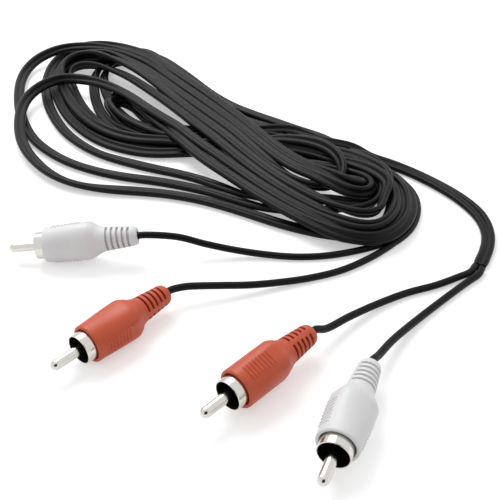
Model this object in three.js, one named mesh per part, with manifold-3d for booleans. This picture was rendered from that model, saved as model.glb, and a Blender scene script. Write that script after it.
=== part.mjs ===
// A stereo phono audio cable: two coaxial leads moulded side by side as one flat twin cable,
// wound into a long loose hank that lies on a table, with a red and a white plug at each end.
// Millimetres, +Z up. The table is z = 0, and X and Y are centred on the whole object.
// Each plug is built on its own axis: +Y runs from the pin to the cable, y = 0 is the collar's
// front rim, and +Z is the middle of one grip face.

import * as THREE from 'three';
import { mergeVertices } from 'three/addons/utils/BufferGeometryUtils.js';
import Module from 'manifold-3d';

// Fits
const FIT = 0.3; // clearance between two pieces that seat on each other
const WIRE_FIT = 0.2; // clearance round the thin wires inside a plug

// Cable: each lead has a core in its insulation, a shield round that and a jacket
const LEAD_RADIUS = 1.2;
const CORE_RADIUS = 0.3;
const CORE_INSULATION_RADIUS = 0.65;
const SHIELD_WIRE_RADIUS = 0.25; // the shield, gathered into one wire
const STRIPPED_CORE = 4.6; // bare length of the core
const STRIPPED_INSULATION = 3.8; // length of the core's insulation past the jacket
const TWIN_CORNER = 0.7; // corner cut of the flat twin section
const CORD_STEP = 6.0; // length of one straight facet along a cord
const PLUG_STRAIGHT = 2.0; // length that leaves a plug straight
const SPLIT_STRAIGHT = 2.5; // length that is straight on each side of the leads' parting

// Centre pin
const PIN_RADIUS = 1.6;
const PIN_REACH = 9.7; // from the collar's rim to the pin's tip
const PIN_TIP_LENGTH = 1.9; // length of its rounded end
const PIN_SHOULDER = 0.5; // step from the pin down to its stem
const SOLDER_CUP_DEPTH = 2.2;

// Insulator, which holds the pin in the collar
const SOCKET_DEPTH = 6.0; // from the collar's rim to the insulator's face
const INSULATOR_DISC = 2.4;
const INSULATOR_BOSS_WALL = 0.8;
const INSULATOR_BOSS_LENGTH = 2.0; // behind the collar's floor

// Collar, the outer contact, pressed from sheet
const COLLAR_RADIUS = 4.65; // slides over a socket barrel 8.3 mm across
const COLLAR_SHEET = 0.4;
const COLLAR_FLOOR = 0.8;
const COLLAR_RIM_CHAMFER = 0.12;

// Inner mould, which locks the solder joints
const MOULD_WALL = 0.7;
const MOULD_SOLDER_ROOM = 2.3; // wide bore behind the pin's solder cup
const MOULD_NECK = 4.0; // length of its narrow bore
const MOULD_NOSE = 1.5; // length of its tapered end
const MOULD_NOSE_TAPER = 1.0;

// Boot, the soft overmould
const BOOT_FRONT = 3.0; // behind the collar's rim
const BOOT_WALL = 1.05; // round the collar
const BOOT_FRONT_ROUND = 0.45;
const BOOT_BACK_COVER = 2.4; // how far the inner mould reaches past the boot's shoulder
const SHOULDER_RISE = 0.1; // how much the body widens from its front to its shoulder
const SHOULDER_LENGTH = 6.3; // from the widest place down to the strain relief
const RELIEF_START_RADIUS = 4.15;
const RELIEF_END_RADIUS = 3.45;
const RELIEF_LENGTH = 8.0;
const RELIEF_NOSE = 2.5; // length of the rounded end
const RELIEF_LIP = 0.8; // flat ring round the cable at the boot's end
const GRIP_SWELL = 0.4; // how far the grip faces stand out at the shoulder
const FLANK_SLIM = 0.25; // how far the sides between them draw in
const GRIP_SQUARENESS = 0.55; // 0 is a round section

// Slots that let the strain relief bend
const SLOT_COUNT = 5;
const SLOT_WIDTH = 0.75;
const SLOT_DEPTH = 0.85;
const SPINE_WIDTH = 1.7; // the ridge left between the slots of the two sides

// Bars moulded on the grip faces
const BAR_COUNT = 8;
const BAR_PITCH = 1.2;
const BAR_WIDTH = 0.6;
const BAR_LENGTH = 4.4;
const BAR_HEIGHT = 0.3;
const BAR_DEPTH = 1.0; // the part of it that is sunk in the boot included
const BAR_FIRST = 3.2; // from the boot's front to the first bar

// Facets
const BOOT_SIDES = 20;
const METAL_SIDES = 20;
const INNER_SIDES = 12;
const WIRE_SIDES = 8;
const BODY_STEPS = 3; // rings of facets along the boot's body
const SHOULDER_STEPS = 4;
const ROUNDING_STEPS = 3; // round the end of a pin or a boot
const SHIELD_WIRE_STEPS = 8;

// Where each plug lies: the middle of its collar rim, the way it points towards its cable,
// how far its tail is raised and how far its grip face is rolled to the right of upright
const PLUGS = [
  { name: 'white_left', colour: 'white', x: -60.7, y: -38.6, heading: 0.6, tilt: 6.5, roll: -28 },
  { name: 'red_left', colour: 'red', x: -38.2, y: -89.7, heading: 48.4, tilt: 0, roll: 87 },
  { name: 'red_right', colour: 'red', x: 4.95, y: -108.45, heading: 46.4, tilt: 0, roll: 20 },
  { name: 'white_right', colour: 'white', x: 31.7, y: -128, heading: 67.6, tilt: 0, roll: -55 },
];

// Routes of the cable's middle line on the table, from each plug to the place where its two leads
// join, and on from there to the hank
const SPLITS = [
  { name: 'left_end', x: 59.5, y: -30.6, heading: 43 },
  { name: 'right_end', x: 86.8, y: -45.7, heading: 57 },
];
const LEADS = {
  white_left: { split: 0, side: 1, route: [
    [-13.5, -36.9, 8.3], [-4, -36.7, 5.2], [6, -36.9, 2.8], [16, -37.6, 1.5], [26.2, -38.6, 1.2],
    [36.3, -38.1, 1.2], [46.4, -35.6, 1.2]] },
  red_left: { split: 0, side: -1, route: [
    [-9.6, -60.4, 5.7], [-4.6, -59.2, 5.1], [1.8, -57.9, 4.2], [11, -56, 2.9], [21.1, -53.2, 1.8],
    [31.2, -50.1, 1.2], [41.3, -46.2, 1.2], [51.4, -39.6, 1.2]] },
  red_right: { split: 1, side: 1, route: [
    [33.6, -79.3, 4.9], [41.3, -72, 3.2], [51.2, -64.1, 1.7], [61.5, -58, 1.2], [71.6, -54, 1.2],
    [80, -49.6, 1.2]] },
  white_right: { split: 1, side: -1, route: [
    [47.6, -91.2, 5.2], [53, -82.9, 3.4], [61.8, -72.2, 1.6], [73.6, -60.4, 1.2],
    [82.6, -52, 1.2]] },
};
const TAILS = {
  left_end: [[66.6, -24.2, 1.2], [71.7, -12.3, 1.2], [73.4, -2, 1.2], [71.6, 8, 1.2], [69.4, 14.6, 1.2]],
  right_end: [[90, -40.2, 1.2], [93.9, -32.5, 1.2], [95.9, -22.4, 1.2], [94.7, -13, 1.2],
    [89.9, -2.2, 1.2], [81.4, 9.4, 1.2], [75.6, 17.4, 1.2]],
};

// Outer shape of the hank, seen from above: all of it lies low on the table, and the bundle that
// crosses it stands higher, its right end over the cable that leaves the hank below it. The eyes
// are the gaps between the loops.
const HANK_LOW = 4.6;
const HANK_HIGH = 9.0;
const BUNDLE_CLEARANCE = 0.5; // from the cable that leaves the hank to the bundle over it
const HANK_OUTLINE = [
  [77.6, 19.4], [62, 31.5], [57, 36], [40, 45], [25, 57], [10, 68.5], [0, 78], [-8, 90],
  [-18, 107], [-26, 118], [-34, 127], [-41, 131], [-58, 134.5], [-70.9, 137], [-84, 134.5],
  [-93, 129.5], [-97, 119], [-98, 107], [-97, 90], [-93, 71], [-91, 55], [-87, 40], [-80, 27],
  [-72, 15.5], [-64, 8], [-55, 3.3], [-45, 1], [-30, -0.5], [-17, -3], [-5, -7.5], [8, -14.5],
  [20, -22], [31, -29], [41, -31.5], [50, -29.8], [57, -26], [62, -21], [66, -13], [68.4, -3],
  [68, 6], [65.8, 14],
];
const BUNDLE_OUTLINE = [
  [71, -6], [70, 3], [66, 11], [58, 15], [51, 14], [49.5, 20], [45, 27.5], [37, 33], [27, 37.5],
  [17, 44.5], [5, 64], [-10, 87], [-25, 108], [-35, 119.5], [-47, 128], [-58, 133.5],
  [-70.5, 136.5], [-80, 134.5], [-86, 127], [-85, 117], [-81, 108], [-76, 109], [-71.5, 115],
  [-66, 114.8], [-57, 109.5], [-46, 99], [-36, 85], [-29, 72], [-27, 62], [-23, 43], [-17, 29],
  [-9, 17], [0, 5], [10, -6.5], [20, -17.5], [30, -27], [40, -33.5], [50, -36.4], [59, -34.2],
  [66, -27], [70, -17],
];
const HANK_EYES = [
  // inside the left lobe, on the two sides of the strands that cross it
  [[-74.5, 104], [-71, 110], [-66.5, 108.5], [-65.5, 100], [-63.5, 88], [-60, 76], [-56.5, 66],
    [-61, 69], [-66, 79], [-71, 92]],
  [[-56, 102], [-55, 96], [-52.5, 88], [-49, 84.5], [-43, 80], [-37.5, 71], [-34, 66], [-34, 72],
    [-40.5, 85], [-48.5, 96]],
  // between the left lobe and the loops in front of it
  [[-18.5, 28], [-27, 30.8], [-36, 31.8], [-45, 35], [-53, 41], [-60, 48.5], [-58, 42.5],
    [-49, 34], [-40, 28.5], [-30, 23.8], [-20, 19.5], [-12, 16.5]],
  [[-25, 14.6], [-31, 18], [-41, 22.2], [-51, 27.2], [-60, 34.8], [-67.5, 43], [-73.5, 53],
    [-78.5, 63.5], [-82.5, 74], [-84.8, 79], [-86, 72], [-85.5, 62], [-81.5, 51], [-75.5, 41.5],
    [-69, 34.5], [-62, 28.5], [-54, 23.6], [-45, 19.2], [-35, 15.8]],
  [[-91.5, 84], [-89, 90], [-89, 98], [-90, 107], [-91, 116], [-93.5, 113], [-94.5, 105],
    [-94.2, 96], [-93, 88]],
  [[-22, 5.5], [-30, 8.2], [-38, 10.2], [-47, 13.4], [-56, 17.4], [-64.5, 22.3], [-71.5, 28.8],
    [-77.5, 35.3], [-76.5, 31], [-72, 24.5], [-67, 18.2], [-61, 13], [-54.5, 9.4], [-46, 7.2],
    [-37, 6.2], [-28, 5.2]],
];
const EYE_STEPS = 28; // points round an eye's curve

// Places along a plug, and radii, that several pieces share
const PIN_STEM_RADIUS = PIN_RADIUS - PIN_SHOULDER;
const SOLDER_CUP_RADIUS = CORE_RADIUS + WIRE_FIT;
const COLLAR_INSIDE = COLLAR_RADIUS - COLLAR_SHEET;
const COLLAR_FLOOR_FRONT = SOCKET_DEPTH + INSULATOR_DISC + FIT;
const COLLAR_LENGTH = COLLAR_FLOOR_FRONT + COLLAR_FLOOR;
const BOSS_RADIUS = PIN_STEM_RADIUS + FIT + INSULATOR_BOSS_WALL;
const BOSS_END = COLLAR_LENGTH + INSULATOR_BOSS_LENGTH;
const STEM_END = BOSS_END + SOLDER_CUP_DEPTH;
const CORE_START = BOSS_END + FIT;
const CORE_END = CORE_START + STRIPPED_CORE;
const INSULATION_START = CORE_END + FIT;
const INSULATION_END = INSULATION_START + STRIPPED_INSULATION;
const JACKET_START = INSULATION_END + FIT;
const LEAD_BORE = LEAD_RADIUS + FIT;
const SHIELD_AT_CABLE = CORE_INSULATION_RADIUS + WIRE_FIT + SHIELD_WIRE_RADIUS; // from the axis
const SHIELD_AT_COLLAR = BOSS_RADIUS + FIT + SHIELD_WIRE_RADIUS;
const NECK_BORE = SHIELD_AT_CABLE + SHIELD_WIRE_RADIUS + WIRE_FIT;
const CHAMBER_RADIUS = SHIELD_AT_COLLAR + SHIELD_WIRE_RADIUS + FIT;
const CHAMBER_BACK = STEM_END + MOULD_SOLDER_ROOM;
const MOULD_RADIUS = CHAMBER_RADIUS + MOULD_WALL;
const MOULD_FRONT = COLLAR_LENGTH + FIT;
const MOULD_BACK = CHAMBER_BACK + MOULD_NECK;
const COLLAR_BORE = COLLAR_RADIUS + FIT;
const BOOT_FRONT_RADIUS = COLLAR_BORE + BOOT_WALL;
const SHOULDER_RADIUS = BOOT_FRONT_RADIUS + SHOULDER_RISE;
const SHOULDER = MOULD_BACK - BOOT_BACK_COVER;
const RELIEF_START = SHOULDER + SHOULDER_LENGTH;
const RELIEF_END = RELIEF_START + RELIEF_LENGTH;
const BOOT_END = RELIEF_END + RELIEF_NOSE;
const SLOT_PITCH = (RELIEF_LENGTH - SLOT_WIDTH) / (SLOT_COUNT - 1);
const LEAD_PITCH = 2 * LEAD_RADIUS + FIT; // where the leads part
const TWIN_WIDTH = 4 * LEAD_RADIUS;

const wasm = await Module();
wasm.setup();

// Materials, one for each mesh

function material(colour, roughness, metalness = 0) {
  return new THREE.MeshStandardMaterial({ color: colour, roughness, metalness });
}

const BOOT_COLOURS = { red: 0xc9553c, white: 0xdedede };
const bootMaterial = (colour) => material(BOOT_COLOURS[colour], 0.5);
const nickel = () => material(0xc9c6bf, 0.22, 1);
const blackPlastic = () => material(0x1c1b19, 0.45);
const jacketBlack = () => material(0x17181a, 0.42);
const naturalPlastic = () => material(0xe6e0d2, 0.5);
const copper = () => material(0xb87345, 0.35, 1);

// Solids

function signedVolume(geometry) {
  const corner = [new THREE.Vector3(), new THREE.Vector3(), new THREE.Vector3()];
  const place = geometry.getAttribute('position');
  const index = geometry.getIndex();
  let total = 0;
  for (let i = 0; i < index.count; i += 3) {
    corner.forEach((c, k) => c.fromBufferAttribute(place, index.getX(i + k)));
    total += corner[0].dot(corner[1].clone().cross(corner[2])) / 6;
  }
  return total;
}

// One closed mesh with shared vertices, no slivers and its faces pointing out
function closed(geometry) {
  const bare = geometry.clone();
  bare.deleteAttribute('normal');
  bare.deleteAttribute('uv');
  const merged = mergeVertices(bare, 1e-5);
  const old = Array.from(merged.getIndex().array);
  const kept = [];
  for (let i = 0; i < old.length; i += 3) {
    const [a, b, c] = old.slice(i, i + 3);
    if (a !== b && b !== c && c !== a) kept.push(a, b, c);
  }
  merged.setIndex(kept);
  if (signedVolume(merged) < 0) {
    for (let i = 0; i < kept.length; i += 3) [kept[i], kept[i + 1]] = [kept[i + 1], kept[i]];
    merged.setIndex(kept);
  }
  return merged;
}

function toSolid(geometry) {
  const mesh = closed(geometry);
  return new wasm.Manifold(new wasm.Mesh({
    numProp: 3,
    vertProperties: new Float32Array(mesh.getAttribute('position').array),
    triVerts: new Uint32Array(mesh.getIndex().array),
  }));
}

function toGeometry(solid) {
  const mesh = solid.getMesh();
  const geometry = new THREE.BufferGeometry();
  geometry.setAttribute('position', new THREE.BufferAttribute(new Float32Array(mesh.vertProperties), 3));
  geometry.setIndex(Array.from(mesh.triVerts));
  return geometry;
}

// A turned piece on the plug's axis, from [radius, place along the axis] corners
function turned(profile, sides) {
  return new THREE.LatheGeometry(profile.map(([r, y]) => new THREE.Vector2(r, y)), sides);
}

function ring(profile, sides) {
  return turned([...profile, profile[0]], sides);
}

function rod(radius, from, to, sides) {
  return turned([[0, from], [radius, from], [radius, to], [0, to]], sides);
}

// Pieces of a plug

// 0 where the boot is round, 1 at its shoulder, where the grip faces are broadest
function gripShare(y) {
  const rise = THREE.MathUtils.smoothstep(y, BOOT_FRONT, SHOULDER);
  return rise * (1 - THREE.MathUtils.smoothstep(y, SHOULDER, RELIEF_START));
}

// Turns the round boot into one with two grip faces, and leaves its bore round
function shapeGrip(geometry) {
  const place = geometry.getAttribute('position');
  for (let i = 0; i < place.count; i += 1) {
    const radius = Math.hypot(place.getX(i), place.getZ(i));
    const share = gripShare(place.getY(i));
    if (radius < COLLAR_BORE + FIT || share === 0) continue;
    const across = place.getX(i) / radius;
    const facing = place.getZ(i) / radius;
    const power = 2 + GRIP_SQUARENESS * share;
    const spread = (Math.abs(across) ** power + Math.abs(facing) ** power) ** (-1 / power);
    place.setX(i, across * spread * (radius - FLANK_SLIM * share));
    place.setZ(i, facing * spread * (radius + GRIP_SWELL * share));
  }
  return geometry;
}

// The boot's outside, from its front edge to its end, as [radius, place] corners
function bootOutline() {
  const outline = [[BOOT_FRONT_RADIUS - BOOT_FRONT_ROUND, BOOT_FRONT]];
  for (let i = 0; i <= BODY_STEPS; i += 1) {
    const share = i / BODY_STEPS;
    outline.push([
      BOOT_FRONT_RADIUS + SHOULDER_RISE * share,
      THREE.MathUtils.lerp(BOOT_FRONT + BOOT_FRONT_ROUND, SHOULDER, share),
    ]);
  }
  for (let i = 1; i <= SHOULDER_STEPS; i += 1) {
    const share = i / SHOULDER_STEPS;
    const fall = THREE.MathUtils.smoothstep(share, 0, 1);
    outline.push([
      THREE.MathUtils.lerp(SHOULDER_RADIUS, RELIEF_START_RADIUS, fall),
      SHOULDER + SHOULDER_LENGTH * share,
    ]);
  }
  const lip = LEAD_BORE + RELIEF_LIP;
  for (let i = 0; i <= ROUNDING_STEPS; i += 1) {
    const angle = (i / ROUNDING_STEPS) * (Math.PI / 2);
    outline.push([
      lip + (RELIEF_END_RADIUS - lip) * Math.cos(angle),
      RELIEF_END + RELIEF_NOSE * Math.sin(angle),
    ]);
  }
  return outline;
}

function bootBlank() {
  const cavity = MOULD_RADIUS + FIT;
  const cavityBack = MOULD_BACK + FIT;
  return ring([
    [COLLAR_BORE, BOOT_FRONT],
    ...bootOutline(),
    [LEAD_BORE, BOOT_END],
    [LEAD_BORE, cavityBack],
    [cavity - MOULD_NOSE_TAPER, cavityBack],
    [cavity, cavityBack - MOULD_NOSE],
    [cavity, MOULD_FRONT],
    [COLLAR_BORE, MOULD_FRONT],
  ], BOOT_SIDES);
}

// A groove round the strain relief that leaves a spine on each grip side
function slotCutter(number) {
  const from = RELIEF_START + number * SLOT_PITCH;
  const to = from + SLOT_WIDTH;
  const outside = 2 * RELIEF_START_RADIUS;
  const surface = THREE.MathUtils.mapLinear(
    from, RELIEF_START, RELIEF_END, RELIEF_START_RADIUS, RELIEF_END_RADIUS);
  const floor = surface - SLOT_DEPTH;
  const groove = ring([[floor, from], [outside, from], [outside, to], [floor, to]], BOOT_SIDES);
  const spine = new THREE.BoxGeometry(SPINE_WIDTH, 3 * SLOT_WIDTH, 3 * outside);
  spine.translate(0, (from + to) / 2, 0);
  return toSolid(groove).subtract(toSolid(spine));
}

// A raised bar on one grip face
function gripBar(number, side) {
  const y = BOOT_FRONT + BAR_FIRST + number * BAR_PITCH;
  const face = BOOT_FRONT_RADIUS + GRIP_SWELL * gripShare(y);
  const bar = new THREE.BoxGeometry(BAR_LENGTH, BAR_WIDTH, BAR_DEPTH);
  bar.translate(0, y, side * (face + BAR_HEIGHT - BAR_DEPTH / 2));
  return toSolid(bar);
}

function boot() {
  let solid = toSolid(shapeGrip(bootBlank()));
  for (let i = 0; i < SLOT_COUNT; i += 1) solid = solid.subtract(slotCutter(i));
  for (const side of [-1, 1]) {
    for (let i = 0; i < BAR_COUNT; i += 1) solid = solid.add(gripBar(i, side));
  }
  return toGeometry(solid);
}

function collar() {
  const hole = BOSS_RADIUS + FIT;
  return ring([
    [COLLAR_INSIDE, COLLAR_RIM_CHAMFER],
    [COLLAR_INSIDE + COLLAR_RIM_CHAMFER, 0],
    [COLLAR_RADIUS - COLLAR_RIM_CHAMFER, 0],
    [COLLAR_RADIUS, COLLAR_RIM_CHAMFER],
    [COLLAR_RADIUS, COLLAR_LENGTH],
    [hole, COLLAR_LENGTH],
    [hole, COLLAR_FLOOR_FRONT],
    [COLLAR_INSIDE, COLLAR_FLOOR_FRONT],
  ], METAL_SIDES);
}

function insulator() {
  const bore = PIN_STEM_RADIUS + FIT;
  const disc = COLLAR_INSIDE - FIT;
  const discBack = SOCKET_DEPTH + INSULATOR_DISC;
  return ring([
    [bore, SOCKET_DEPTH],
    [disc, SOCKET_DEPTH],
    [disc, discBack],
    [BOSS_RADIUS, discBack],
    [BOSS_RADIUS, BOSS_END],
    [bore, BOSS_END],
  ], METAL_SIDES);
}

function centrePin() {
  const shoulder = SOCKET_DEPTH - FIT;
  const profile = [];
  for (let i = 0; i <= ROUNDING_STEPS; i += 1) {
    const angle = (i / ROUNDING_STEPS) * (Math.PI / 2);
    profile.push([PIN_RADIUS * Math.sin(angle), PIN_TIP_LENGTH * (1 - Math.cos(angle)) - PIN_REACH]);
  }
  profile.push(
    [PIN_RADIUS, shoulder],
    [PIN_STEM_RADIUS, shoulder],
    [PIN_STEM_RADIUS, STEM_END],
    [SOLDER_CUP_RADIUS, STEM_END],
    [SOLDER_CUP_RADIUS, BOSS_END],
    [0, BOSS_END],
  );
  return turned(profile, METAL_SIDES);
}

function innerMould() {
  return ring([
    [CHAMBER_RADIUS, MOULD_FRONT],
    [MOULD_RADIUS, MOULD_FRONT],
    [MOULD_RADIUS, MOULD_BACK - MOULD_NOSE],
    [MOULD_RADIUS - MOULD_NOSE_TAPER, MOULD_BACK],
    [NECK_BORE, MOULD_BACK],
    [NECK_BORE, CHAMBER_BACK],
    [CHAMBER_RADIUS, CHAMBER_BACK],
  ], INNER_SIDES);
}

// The shield's wire, from the end of the jacket to its solder joint on the collar's floor
function shieldWire() {
  const corners = [
    [SHIELD_AT_CABLE, JACKET_START - FIT],
    [SHIELD_AT_CABLE, CHAMBER_BACK - 2 * SHIELD_WIRE_RADIUS],
    [SHIELD_AT_COLLAR, BOSS_END + FIT],
    [SHIELD_AT_COLLAR, MOULD_FRONT],
  ].map(([x, y]) => new THREE.Vector3(x, y, 0));
  const path = new THREE.CurvePath();
  for (let i = 1; i < corners.length; i += 1) {
    path.add(new THREE.LineCurve3(corners[i - 1], corners[i]));
  }
  return tube(sectionRound(SHIELD_WIRE_RADIUS, WIRE_SIDES), path, SHIELD_WIRE_STEPS);
}

// Cords

function sectionRound(radius, sides) {
  const corners = [];
  for (let i = 0; i < sides; i += 1) {
    const angle = ((i + 0.5) / sides) * 2 * Math.PI;
    corners.push(new THREE.Vector2(radius * Math.cos(angle), radius * Math.sin(angle)));
  }
  return new THREE.Shape(corners);
}

// The flat section of two leads side by side, wide in the table's plane
function sectionTwin() {
  const half = TWIN_WIDTH / 2;
  const corners = [
    [LEAD_RADIUS - TWIN_CORNER, -half], [LEAD_RADIUS, TWIN_CORNER - half],
    [LEAD_RADIUS, half - TWIN_CORNER], [LEAD_RADIUS - TWIN_CORNER, half],
    [TWIN_CORNER - LEAD_RADIUS, half], [-LEAD_RADIUS, half - TWIN_CORNER],
    [-LEAD_RADIUS, TWIN_CORNER - half], [TWIN_CORNER - LEAD_RADIUS, -half],
  ];
  return new THREE.Shape(corners.map(([x, y]) => new THREE.Vector2(x, y)));
}

function tube(section, path, steps) {
  return new THREE.ExtrudeGeometry(section, { steps, extrudePath: path, bevelEnabled: false });
}

function cord(section, points) {
  const path = new THREE.CatmullRomCurve3(points.map((p) => new THREE.Vector3(...p)), false, 'centripetal');
  return tube(section, path, Math.round(path.getLength() / CORD_STEP));
}

// How a plug is turned: raised at its tail and rolled on its axis, then turned on the table
function plugTurn({ tilt, roll, heading }) {
  const [raise, twist, yaw] = [tilt, roll, heading - 90].map(THREE.MathUtils.degToRad);
  return new THREE.Euler(raise, twist, yaw, 'ZXY');
}

// The height of the collar's rim when the boot lies on the table
function plugHeight(plug) {
  const laid = BOOT.clone().applyMatrix4(new THREE.Matrix4().makeRotationFromEuler(plugTurn(plug)));
  laid.computeBoundingBox();
  return -laid.boundingBox.min.z;
}

// A point on a plug's axis, y behind its collar rim
function onAxis(plug, y) {
  const point = new THREE.Vector3(0, y, 0).applyEuler(plugTurn(plug));
  return point.add(new THREE.Vector3(plug.x, plug.y, plugHeight(plug))).toArray();
}

// A point by the place where the leads part, this far along the twin cable and to its left
function bySplit(split, distance, left) {
  const heading = THREE.MathUtils.degToRad(split.heading);
  return [
    split.x + distance * Math.cos(heading) - left * Math.sin(heading),
    split.y + distance * Math.sin(heading) + left * Math.cos(heading),
    LEAD_RADIUS,
  ];
}

function lead(plug) {
  const { split, side, route } = LEADS[plug.name];
  const left = (side * LEAD_PITCH) / 2;
  return cord(sectionRound(LEAD_RADIUS, WIRE_SIDES), [
    onAxis(plug, BOOT_END + FIT), onAxis(plug, BOOT_END + PLUG_STRAIGHT), ...route,
    bySplit(SPLITS[split], -SPLIT_STRAIGHT, left), bySplit(SPLITS[split], 0, left),
  ]);
}

function tail(split) {
  return cord(sectionTwin(), [
    bySplit(split, FIT, 0), bySplit(split, SPLIT_STRAIGHT, 0), ...TAILS[split.name],
  ]);
}

// The hank

function slab(outline, bottom, top, eyes = []) {
  const flat = (points) => points.map(([x, y]) => new THREE.Vector2(x, y));
  const shape = new THREE.Shape(flat(outline));
  for (const eye of eyes) {
    const curve = new THREE.CatmullRomCurve3(
      eye.map(([x, y]) => new THREE.Vector3(x, y, 0)), true, 'centripetal');
    const points = curve.getPoints(EYE_STEPS).slice(0, -1);
    shape.holes.push(new THREE.Path(flat(points.map((p) => [p.x, p.y]))));
  }
  const geometry = new THREE.ExtrudeGeometry(shape, { depth: top - bottom, bevelEnabled: false });
  return toSolid(geometry.translate(0, 0, bottom));
}

function hank() {
  const low = slab(HANK_OUTLINE, 0, HANK_LOW, HANK_EYES);
  const bundle = slab(BUNDLE_OUTLINE, 2 * LEAD_RADIUS + BUNDLE_CLEARANCE, HANK_HIGH);
  return toGeometry(low.add(bundle));
}

// Assembly

function add(parent, name, geometry, meshMaterial) {
  const mesh = new THREE.Mesh(closed(geometry), meshMaterial);
  mesh.name = name;
  parent.add(mesh);
}

function addPlug(plug) {
  const group = new THREE.Group();
  group.position.set(plug.x, plug.y, plugHeight(plug));
  group.rotation.copy(plugTurn(plug));
  const insulation = rod(CORE_INSULATION_RADIUS, INSULATION_START, INSULATION_END, INNER_SIDES);
  add(group, `${plug.name}_boot`, BOOT, bootMaterial(plug.colour));
  add(group, `${plug.name}_collar`, collar(), nickel());
  add(group, `${plug.name}_centre_pin`, centrePin(), nickel());
  add(group, `${plug.name}_insulator`, insulator(), blackPlastic());
  add(group, `${plug.name}_inner_mould`, innerMould(), naturalPlastic());
  add(group, `${plug.name}_core_wire`, rod(CORE_RADIUS, CORE_START, CORE_END, INNER_SIDES), copper());
  add(group, `${plug.name}_core_insulation`, insulation, naturalPlastic());
  add(group, `${plug.name}_shield_wire`, shieldWire(), copper());
  add(group, `${plug.name}_cable_end`, rod(LEAD_RADIUS, JACKET_START, BOOT_END, INNER_SIDES), jacketBlack());
  cable.add(group);
}

const cable = new THREE.Group();
const BOOT = boot(); // all four plugs have the same one

for (const plug of PLUGS) {
  addPlug(plug);
  add(cable, `${plug.name}_lead`, lead(plug), jacketBlack());
}
for (const split of SPLITS) add(cable, `${split.name}_twin_cable`, tail(split), jacketBlack());
add(cable, 'twin_cable_hank', hank(), jacketBlack());

export default cable;
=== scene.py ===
"""Looks of a stereo phono audio cable: its cords, plugs, finishes, table and light.

Laid out as an add-on, and run as a script. Routes and sizes below are in millimetres, in the
part's own frame. A plug is modelled on its own axis: +Y runs from its pin to its cable, y = 0 is
its collar's front rim and +Z is the middle of one grip face.
"""
import math

import bmesh
import bpy
import numpy as np
from bpy.props import FloatProperty, FloatVectorProperty, PointerProperty
from mathutils import Matrix, Vector


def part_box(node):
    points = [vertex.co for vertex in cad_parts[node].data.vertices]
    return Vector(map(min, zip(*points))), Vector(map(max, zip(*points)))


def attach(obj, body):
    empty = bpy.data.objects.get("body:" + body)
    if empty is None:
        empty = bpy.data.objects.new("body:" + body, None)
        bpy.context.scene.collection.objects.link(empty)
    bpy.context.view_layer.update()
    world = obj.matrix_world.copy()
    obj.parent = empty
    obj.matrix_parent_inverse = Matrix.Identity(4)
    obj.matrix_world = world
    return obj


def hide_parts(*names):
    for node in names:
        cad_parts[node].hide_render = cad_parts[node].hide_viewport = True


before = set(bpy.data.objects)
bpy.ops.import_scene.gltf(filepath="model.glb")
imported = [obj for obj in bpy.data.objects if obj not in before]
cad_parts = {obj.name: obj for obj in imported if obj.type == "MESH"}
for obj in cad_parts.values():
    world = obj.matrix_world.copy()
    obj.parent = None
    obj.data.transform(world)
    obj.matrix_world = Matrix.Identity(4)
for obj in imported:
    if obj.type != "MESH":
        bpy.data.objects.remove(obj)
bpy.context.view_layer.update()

bl_info = {
    "name": "Stereo phono audio cable",
    "version": (1, 0, 0),
    "blender": (4, 5, 0),
    "location": "View3D > Sidebar > Audio cable",
    "description": "Builds the cords, plugs, finishes and stage of a stereo phono audio cable",
    "category": "Object",
}

MM = 0.001
BODY = "root"

FIT = 0.3  # between two pieces where one goes into the other

# Where each plug points, towards its cable, how far its tail is raised and how far its grip face
# is rolled to the right of upright, in degrees; its collar's place comes from the frame
PLUGS = {
    "white_left": {"heading": 0.6, "tilt": 6.5, "roll": -28},
    "red_left": {"heading": 48.4, "tilt": 0, "roll": 87},
    "red_right": {"heading": 46.4, "tilt": 0, "roll": 20},
    "white_right": {"heading": 67.6, "tilt": 0, "roll": -55},
}

# Collar, pin and insulator
PIN_RADIUS = 1.6
PIN_STEM_RADIUS = 1.1
PIN_REACH = 9.7
PIN_TIP = 1.9
PIN_BACK = 13.7
CUP_RADIUS = 0.5
CUP_FLOOR = 11.5
PIN_TIP_STEPS = 12
SOCKET_DEPTH = 6.0
DISC_BACK = 8.4
BOSS_RADIUS = 2.2
COLLAR_RADIUS = 4.65
COLLAR_INSIDE = 4.25
COLLAR_FLOOR_FRONT = 8.7
COLLAR_LENGTH = 9.5
RIM_ROUND = 0.15
GROOVE_EDGE = 0.5  # from the insulator's edges to its moulded groove
GROOVE_FLOOR = 0.7
GROOVE_DEPTH = 0.3

# Boot
BOOT_FRONT = 3.0
BOOT_BORE = 4.95
BOOT_FRONT_RADIUS = 6.0
FRONT_ROUND = 0.55
BORE_LIP = 0.45  # rounding of the front edge round the collar
SHOULDER = 17.6
SHOULDER_RADIUS = 6.1
RELIEF_START = 23.9
RELIEF_START_RADIUS = 4.15
RELIEF_END = 31.9
RELIEF_END_RADIUS = 3.45
BOOT_END = 34.4
LEAD_BORE = 1.5
END_LIP = 2.3  # radius of the flat ring round the cable at the boot's end
CAVITY_RADIUS = 4.3
CAVITY_FRONT = 9.8
CAVITY_BACK = 20.3
CAVITY_TAPER = 1.5
MOUTH_CHAMFER = 0.2
BODY_STEPS = 4
SHOULDER_STEPS = 12
SHOULDER_CLEAR = 0.4  # from the shoulder's last ring to the first slot
NOSE_STEPS = 7
GRIP_SQUARENESS = 0.55
FLANK_SLIM = 0.25
PANEL_RISE = 4.0  # how fast a flat panel reaches its depth along the boot
SLOT_COUNT = 5
SLOT_WIDTH = 0.75
SLOT_DRAFT = 0.05
SLOT_MARGIN = 0.1
SLOT_SHADE = (0.15, 0.6)  # depths between which the painted shade in the slots comes in
SPINE_HALF = 0.85
BAR_COUNT = 8
BAR_PITCH = 1.2
BAR_WIDTH = 0.6
BAR_HALF = 2.3
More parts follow.
